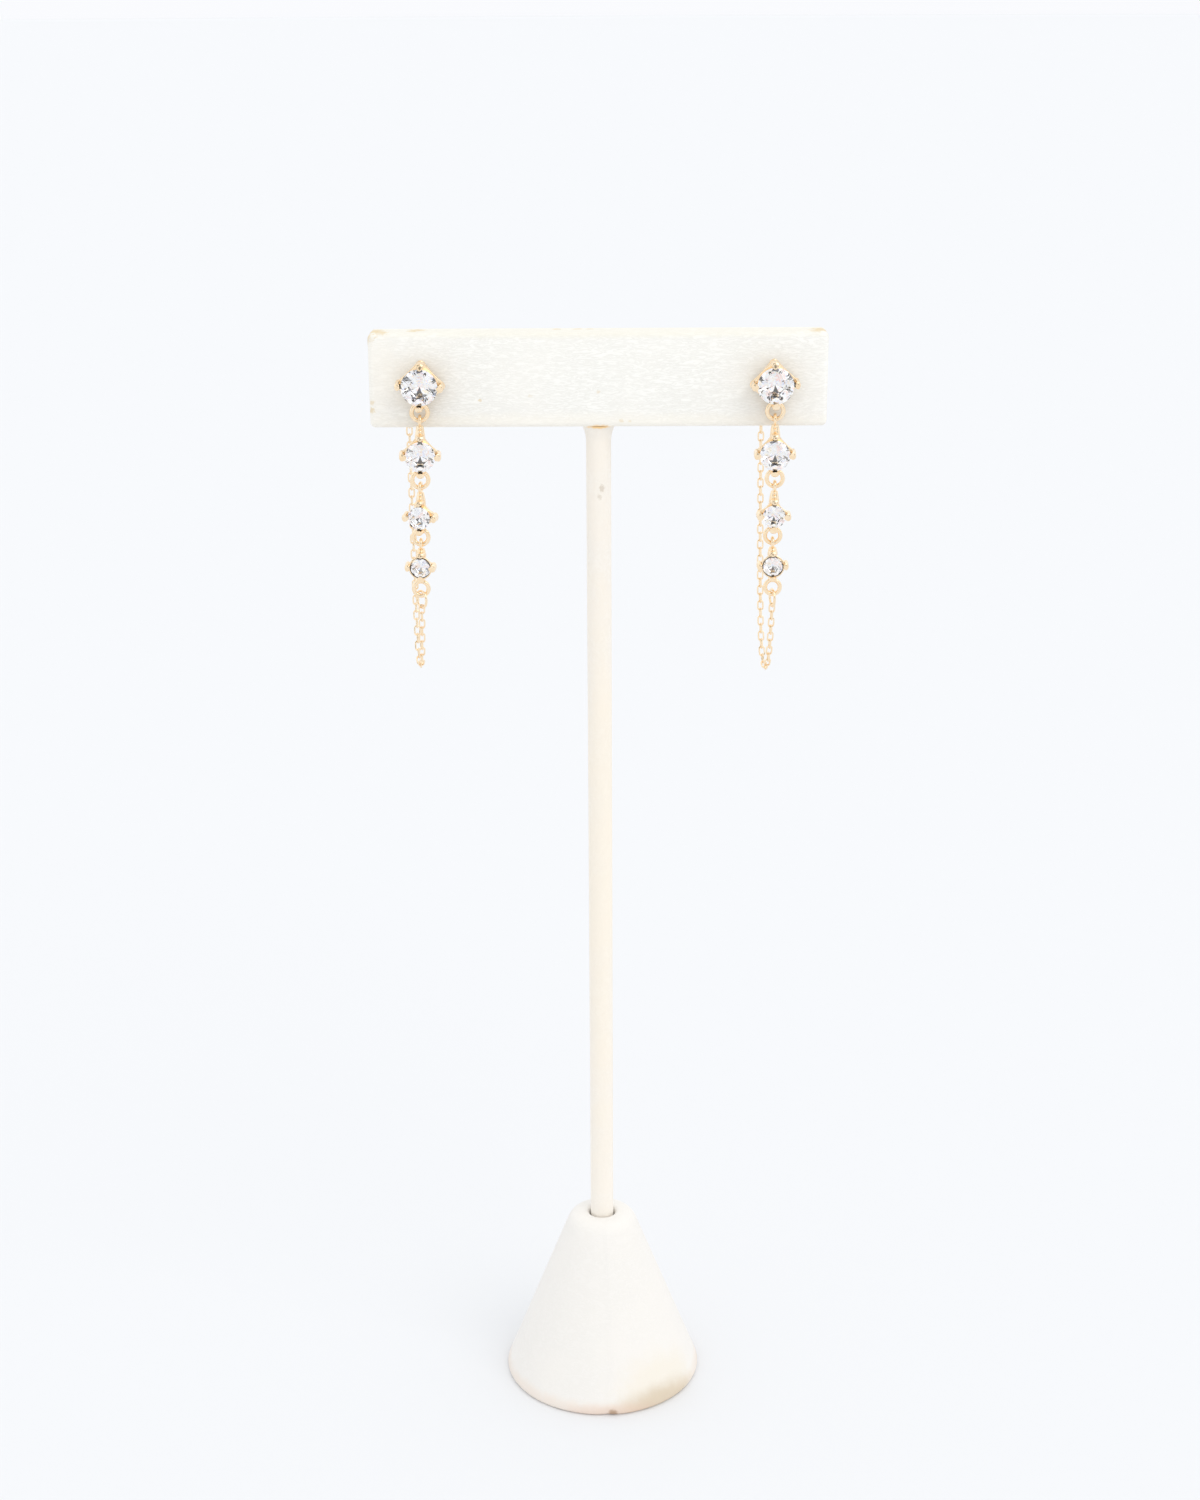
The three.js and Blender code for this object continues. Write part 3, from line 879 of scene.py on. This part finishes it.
def addCup(bm, diameter, matrix):
    floor = metal["cupFloor"]
    slope = 0.5 / stoneCut["pavilion"]
    rim = floor + diameter * stoneCut["pavilion"] - metal["cupWall"] / slope
    inner = (rim - floor) * slope
    profile = [(0, metal["cupBackHeight"]), (metal["flangeHole"] + 0.15, metal["cupBackHeight"])]
    profile += [(diameter / 2 * metal["cupBackShare"], flangeMiddle)]
    profile += [(diameter / 2 - 0.04, rim - 0.06), (diameter / 2 - 0.1, rim)]
    profile += [(inner + 0.05, rim), (inner, rim - 0.05), (0.06, floor + 0.03), (0, floor)]
    made = addTurned(bm, profile, 48)
    # the cup's inside takes the dark seat finish: painted shade in the seat, with some tarnish
    for face in {f for v in made for f in v.link_faces}:
        middle = face.calc_center_median()
        out = math.hypot(middle.x, middle.y)
        inside = (middle.z - floor) * slope > out - 0.2
        face.material_index = 1 if inside else 0
    bmesh.ops.transform(bm, matrix=matrix, verts=made)
    return rim


def addFlange(bm, corner, radius, matrix):
    # a hollow-sided diamond with rounded corners, soft edges and a hole under the stone
    reach = (radius - metal["flangeSideInset"]) * math.sqrt(0.5)
    lobe = metal["flangeLobe"]
    turned = metal["flangeLobeTurn"]
    points = []
    for quarter in range(4):
        turn = Matrix.Rotation(quarter * math.pi / 2, 2)
        side = [Vector(p) for p in arc((corner - lobe, 0), lobe, -turned, turned, 6)]
        start = side[-1]
        middle = Vector((reach, reach))
        end = Vector((start.y, start.x))
        bend = middle * 2 - (start + end) / 2
        for i in range(1, 8):
            t = i / 8
            side.append(start.lerp(bend, t).lerp(bend.lerp(end, t), t))
        points += [turn @ point for point in side]
    before = set(bm.verts)
    outline = [bm.verts.new((p.x, p.y, 0)) for p in points]
    edges = {bm.edges.new(pair) for pair in zip(outline, outline[1:] + outline[:1])}
    hole = bmesh.ops.create_circle(bm, segments=len(points), radius=metal["flangeHole"])["verts"]
    edges |= {e for v in hole for e in v.link_edges}
    faces = bmesh.ops.bridge_loops(bm, edges=list(edges))["faces"]
    lifted = bmesh.ops.extrude_face_region(bm, geom=faces)["geom"]
    top = [v for v in lifted if isinstance(v, bmesh.types.BMVert)]
    bmesh.ops.translate(bm, vec=(0, 0, metal["flangeThickness"]), verts=top)
    made = [v for v in bm.verts if v not in before]
    placeNew(bm, made, None)
    rims = [
        e for e in {e for v in made for e in v.link_edges}
        if abs(e.verts[0].co.z - e.verts[1].co.z) < 1e-5 and e.calc_face_angle(0) > 1
    ]
    bmesh.ops.bevel(
        bm, geom=rims, offset=metal["flangeBevel"], offset_type="OFFSET",
        segments=3, profile=0.5, affect="EDGES", material=-1,
    )
    made = [v for v in bm.verts if v not in before]
    placeNew(bm, made, matrix)


def addClaw(bm, diameter, angle, lifted, rim, matrix):
    # a post beside the stone whose tip leans over the stone's edge, or stands open of it
    radius = metal["clawRadius"]
    gap = metal["openGap"] if lifted else metal["clawGap"]
    lean = metal["openLean"] if lifted else radius + gap + metal["clawCover"]
    girdleTop = metal["cupFloor"] + metal["stoneClearance"]
    girdleTop += diameter * (stoneCut["pavilion"] + stoneCut["girdle"])
    shoulder = girdleTop + metal["clawShoulder"]
    turn = matrix @ Matrix.Rotation(math.radians(angle), 4, "Z")
    out = diameter / 2 + gap + radius
    profile = [(0, flangeMiddle), (radius + 0.08, flangeMiddle), (radius, flangeMiddle + 0.6)]
    profile += [(radius, shoulder - 0.3)]
    for i in range(8):
        share = math.radians(90 * i / 8)
        profile.append((radius * math.cos(share), shoulder + metal["clawTip"] * math.sin(share)))
    profile.append((0, shoulder + metal["clawTip"]))
    made = addTurned(bm, profile, 20)
    for vert in made:
        over = max(0, vert.co.z - shoulder) / metal["clawTip"]
        vert.co.x -= lean * over ** 1.6
        vert.co.y *= metal["clawSpread"]
    bmesh.ops.transform(bm, matrix=turn @ Matrix.Translation((out, 0, 0)), verts=made)
    if not lifted:
        return
    # the cup's wall runs out to the claw; its front face is painted dark, a painted shadow where the light
    # doesn't reach
    low = flangeMiddle
    high = rim - metal["webDrop"]
    size = (gap + radius + 0.2, metal["webWidth"], high - low)
    middle = (out - size[0] / 2, 0, (low + high) / 2)
    place = turn @ Matrix.Translation(middle) @ Matrix.Diagonal((*size, 1))
    web = placeNew(bm, bmesh.ops.create_cube(bm, size=1, matrix=place)["verts"], None)
    front = turn.to_3x3() @ Vector((0, 0, 1))
    for face in {f for v in web for f in v.link_faces}:
        face.material_index = 1 if face.normal.dot(front) > 0.9 else 0


def addCollar(bm, diameter, rim, matrix):
    # a thin wall round the stone; its inner face is painted dark, as painted shade in the gap between them
    inner = diameter / 2 + metal["collarGap"]
    outer = inner + metal["collarWall"]
    top = metal["cupFloor"] + metal["stoneClearance"] + diameter * stoneCut["pavilion"]
    profile = [(inner, rim - 0.3), (inner, top), (inner + 0.05, top + 0.06), (outer - 0.06, top + 0.04)]
    profile += [(outer, top - 0.04), (outer - 0.1, rim - 0.3), (inner, rim - 0.3)]
    made = addTurned(bm, profile, 48)
    # inner faces take the dark seat finish: painted shade in the gap
    for face in {f for v in made for f in v.link_faces}:
        middle = face.calc_center_median()
        inside = math.hypot(middle.x, middle.y) < inner + 0.01
        face.material_index = 1 if inside else 0
    bmesh.ops.transform(bm, matrix=matrix, verts=made)


def makeSetting(side, row, openClaws):
    node = side + "_" + row["name"] + "_setting"
    place, diameter = stonePlace(side + "_" + row["name"] + "_stone")
    seat = metal["cupFloor"] + metal["stoneClearance"]
    matrix = place @ Matrix.Translation((0, 0, -seat))
    back = matrix.inverted()
    cad = [back @ (v.co / mm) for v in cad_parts[node].data.vertices]
    corner = -min(p.x for p in cad if p.z < metal["flangeThickness"] + 0.01)
    ringRadius = (row["ring"] - metal["ringWire"]) / 2
    bm = bmesh.new()
    rim = addCup(bm, diameter, matrix)
    addFlange(bm, corner, diameter / 2, matrix)
    for i in range(4):
        addClaw(bm, diameter, i * 90, openClaws[i], rim, matrix)
    if row["collar"]:
        addCollar(bm, diameter, rim, matrix)
    ringPlace = (0, row["sink"] - corner - ringRadius, flangeMiddle)
    addRing(bm, ringRadius, metal["ringWire"], 48, 16, matrix @ Matrix.Translation(ringPlace))
    if row["stem"] is None:
        addEarPost(bm, matrix)
    else:
        addStem(bm, row, corner, diameter, matrix)
    name = node.replace("_setting", "_claws")
    return finishPiece(name, bm, [gold, shadeAndTarnish], [node], smooth=50)


def addEarPost(bm, matrix):
    radius = metal["earPost"] / 2
    length = metal["earPostLength"]
    profile = [(0, flangeMiddle), (radius * 2, flangeMiddle), (radius * 1.6, -0.15), (radius, -0.5)]
    profile += [(radius, 0.8 - length)]
    profile += [(radius * 0.72, 0.3 - length), (radius * 0.72, -length)]
    profile += [(0, -length - 0.2)]
    addTurned(bm, profile, 24, matrix)


def addStem(bm, row, corner, diameter, matrix):
    loopAt = corner + row["stem"] + loopRadius + metal["loopWire"] / 2
    turn = Matrix.Translation((0, loopAt, flangeMiddle)) @ Matrix.Rotation(math.pi / 2, 4, "Y")
    addRing(bm, loopRadius, metal["loopWire"], 32, 14, matrix @ turn)
    low = diameter / 2 + metal["clawGap"]
    high = loopAt - loopRadius
    foot = metal["stemFoot"] / 2
    top = metal["stemTop"] / 2
    # a flattened taper, with a row of beads down its front
    profile = [(0, 0), (foot * 0.9, 0), (foot, 0.1)]
    for i in range(1, 9):
        share = i / 8
        profile.append((foot + (top - foot) * share ** 1.5, 0.1 + (high - low - 0.1) * share))
    profile.append((0, high - low + 0.15))
    up = Matrix.Translation((0, low, flangeMiddle)) @ Matrix.Rotation(-math.pi / 2, 4, "X")
    addTurned(bm, profile, 28, matrix @ up @ Matrix.Diagonal((1, metal["stemDepth"], 1, 1)))
    height = high - 0.05
    for radius in row["beads"]:
        height -= radius
        share = (height - low) / (high - low)
        front = flangeMiddle + (foot + (top - foot) * share) * metal["stemDepth"]
        addBall(bm, radius, (0, height, front - radius * metal["beadSink"]), matrix)
        height -= radius * 0.75


# Jump ring, nut and chain

links = {
    "jumpWire": 0.44,
    "jumpOuter": 3.3,
    "wire": 0.3,
    "play": 0.08,
    "pitch": 1.325,
    "count": 46,
    "steps": 20,
    "sides": 8,
}
nut = {
    "disc": 5.4,
    "thickness": 0.85,
    "barrel": 2.2,
    "barrelLength": 2.2,
    "clearance": 0.12,
    "eyeletWire": 0.44,
    "eyeletRadius": 0.62,
    "eyeletSink": 0.12,
}
# open: claws that stand off each stone, from the right one round by the top, left and bottom
earrings = [
    {
        "side": "left",
        "eyelet": 60,
        "jump": 38,
        "open": {
            "stud": (0, 0, 1, 1), "upper": (0, 1, 0, 1),
            "middle": (1, 1, 0, 1), "lower": (0, 1, 1, 0),
        },
    },
    {
        "side": "right",
        "eyelet": 28,
        "jump": 12,
        "open": {
            "stud": (1, 0, 0, 0), "upper": (0, 1, 0, 1),
            "middle": (0, 1, 0, 0), "lower": (1, 1, 1, 1),
        },
    },
]
jewelTurn = Matrix.Rotation(math.pi / 2, 4, "X")


def nutPlace(side):
    # on the ear post's line, at the front of the nut's disc
    low, high = boxOf(side + "_ear_nut")
    return Vector((high.x - nut["disc"] / 2, low.y, high.z - nut["disc"] / 2))


def eyeletPlace(earring):
    angle = math.radians(earring["eyelet"])
    out = nut["disc"] / 2 + nut["eyeletRadius"] - nut["eyeletSink"]
    place = nutPlace(earring["side"])
    back = nut["thickness"] - nut["eyeletWire"] / 2
    return place + Vector((-out * math.sin(angle), back, -out * math.cos(angle)))


def makeNut(earring):
    side = earring["side"]
    bore = metal["earPost"] / 2 + nut["clearance"]
    radius = nut["disc"] / 2
    thick = nut["thickness"]
    barrel = nut["barrel"] / 2
    end = thick + nut["barrelLength"]
    profile = [(bore, 0), (radius - 0.25, 0)]
    profile += arc((radius - 0.25, 0.25), 0.25, -90, 0, 4)
    profile += arc((radius - 0.3, thick - 0.3), 0.3, 0, 90, 4)
    profile += [(barrel + 0.35, thick), (barrel + 0.08, thick + 0.15), (barrel, thick + 0.5)]
    profile += arc((barrel - 0.25, end - 0.25), 0.25, 0, 90, 4)
    profile += [(bore + 0.1, end), (bore, end - 0.1), (bore, 0)]
    bm = bmesh.new()
    place = Matrix.Translation(nutPlace(side)) @ Matrix.Rotation(-math.pi / 2, 4, "X")
    addTurned(bm, profile, 48, place)
    eye = Matrix.Translation(eyeletPlace(earring)) @ jewelTurn
    addRing(bm, nut["eyeletRadius"], nut["eyeletWire"], 28, 12, eye)
    return finishPiece(side + "_nut", bm, [gold], [side + "_ear_nut"])


def jumpPlace(side):
    low, high = boxOf(side + "_jump_ring")
    return (low + high) / 2


def makeJumpRing(earring):
    side = earring["side"]
    radius = (links["jumpOuter"] - links["jumpWire"]) / 2
    turn = Matrix.Rotation(math.radians(90 + earring["jump"]), 4, "Z") @ jewelTurn
    bm = bmesh.new()
    addRing(bm, radius, links["jumpWire"], 56, 14, Matrix.Translation(jumpPlace(side)) @ turn)
    return finishPiece(side + "_ring", bm, [gold], [side + "_jump_ring"])


def hang(start, end, count, pitch):
    # joints of a hanging chain of equal links between two ends, each link at rest under gravity
    flat = Vector((end.x - start.x, end.y - start.y, 0))
    across = flat.length
    rise = end.z - start.z
    flat.normalize()

    def reach(pull, low):
        sizes = [math.hypot(pull, i + 0.5 - low) for i in range(count)]
        along = sum(pitch * pull / size for size in sizes)
        up = sum(pitch * (i + 0.5 - low) / size for i, size in enumerate(sizes))
        return along, up

    def between(low, high, tooLow):
        for _ in range(60):
            middle = (low + high) / 2
            if tooLow(middle):
                low = middle
            else:
                high = middle
        return (low + high) / 2

    def lowest(pull):
        return between(0, count, lambda low: reach(pull, low)[1] > rise)

    pull = between(0.001, count, lambda p: reach(p, lowest(p))[0] < across)
    low = lowest(pull)
    points = [start.copy()]
    for i in range(count):
        weight = i + 0.5 - low
        size = math.hypot(pull, weight)
        step = flat * (pitch * pull / size)
        step.z = pitch * weight / size
        points.append(points[-1] + step)
    return points, flat


def linkMesh():
    # one oval link along +Y, in the plane of X and Y
    inner = links["jumpWire"] + 2 * links["play"]
    radius = (inner + links["wire"]) / 2
    stretch = links["pitch"] / 2 - (radius - links["wire"] / 2)
    bm = bmesh.new()
    addRing(bm, radius, links["wire"], links["steps"], links["sides"])
    for vert in bm.verts:
        if abs(vert.co.y) > 0.03:
            vert.co.y += math.copysign(stretch, vert.co.y)
    data = bpy.data.meshes.new("link")
    bm.to_mesh(data)
    bm.free()
    return data


def makeChain(earring, link):
    side = earring["side"]
    jumpRadius = (links["jumpOuter"] - links["jumpWire"]) / 2
    start = jumpPlace(side)
    start.z += links["jumpWire"] / 2 + links["play"] - jumpRadius
    end = eyeletPlace(earring)
    end.z += nut["eyeletWire"] / 2 + links["play"] - nut["eyeletRadius"]
    points, flat = hang(start, end, links["count"], links["pitch"])
    sideways = Vector((0, 0, 1)).cross(flat).normalized()
    bm = bmesh.new()
    for i in range(links["count"]):
        along = (points[i + 1] - points[i]).normalized()
        face = sideways if i % 2 else sideways.cross(along)
        across = along.cross(face)
        turn = Matrix((across, along, face)).transposed().to_4x4()
        first = len(bm.verts)
        bm.from_mesh(link)
        bm.verts.ensure_lookup_table()
        place = Matrix.Translation((points[i] + points[i + 1]) / 2) @ turn
        bmesh.ops.transform(bm, matrix=place, verts=bm.verts[first:])
    return finishPiece(side + "_links", bm, [gold], [side + "_chain"])


link = linkMesh()
for earring in earrings:
    side = earring["side"]
    for row in settingRows:
        makeStone(side + "_" + row["name"] + "_cut", side + "_" + row["name"] + "_stone")
        makeSetting(side, row, earring["open"][row["name"]])
    makeJumpRing(earring)
    makeNut(earring)
    makeChain(earring, link)
    print(side, "earring made")
bpy.data.meshes.remove(link)

bpy.context.view_layer.update()
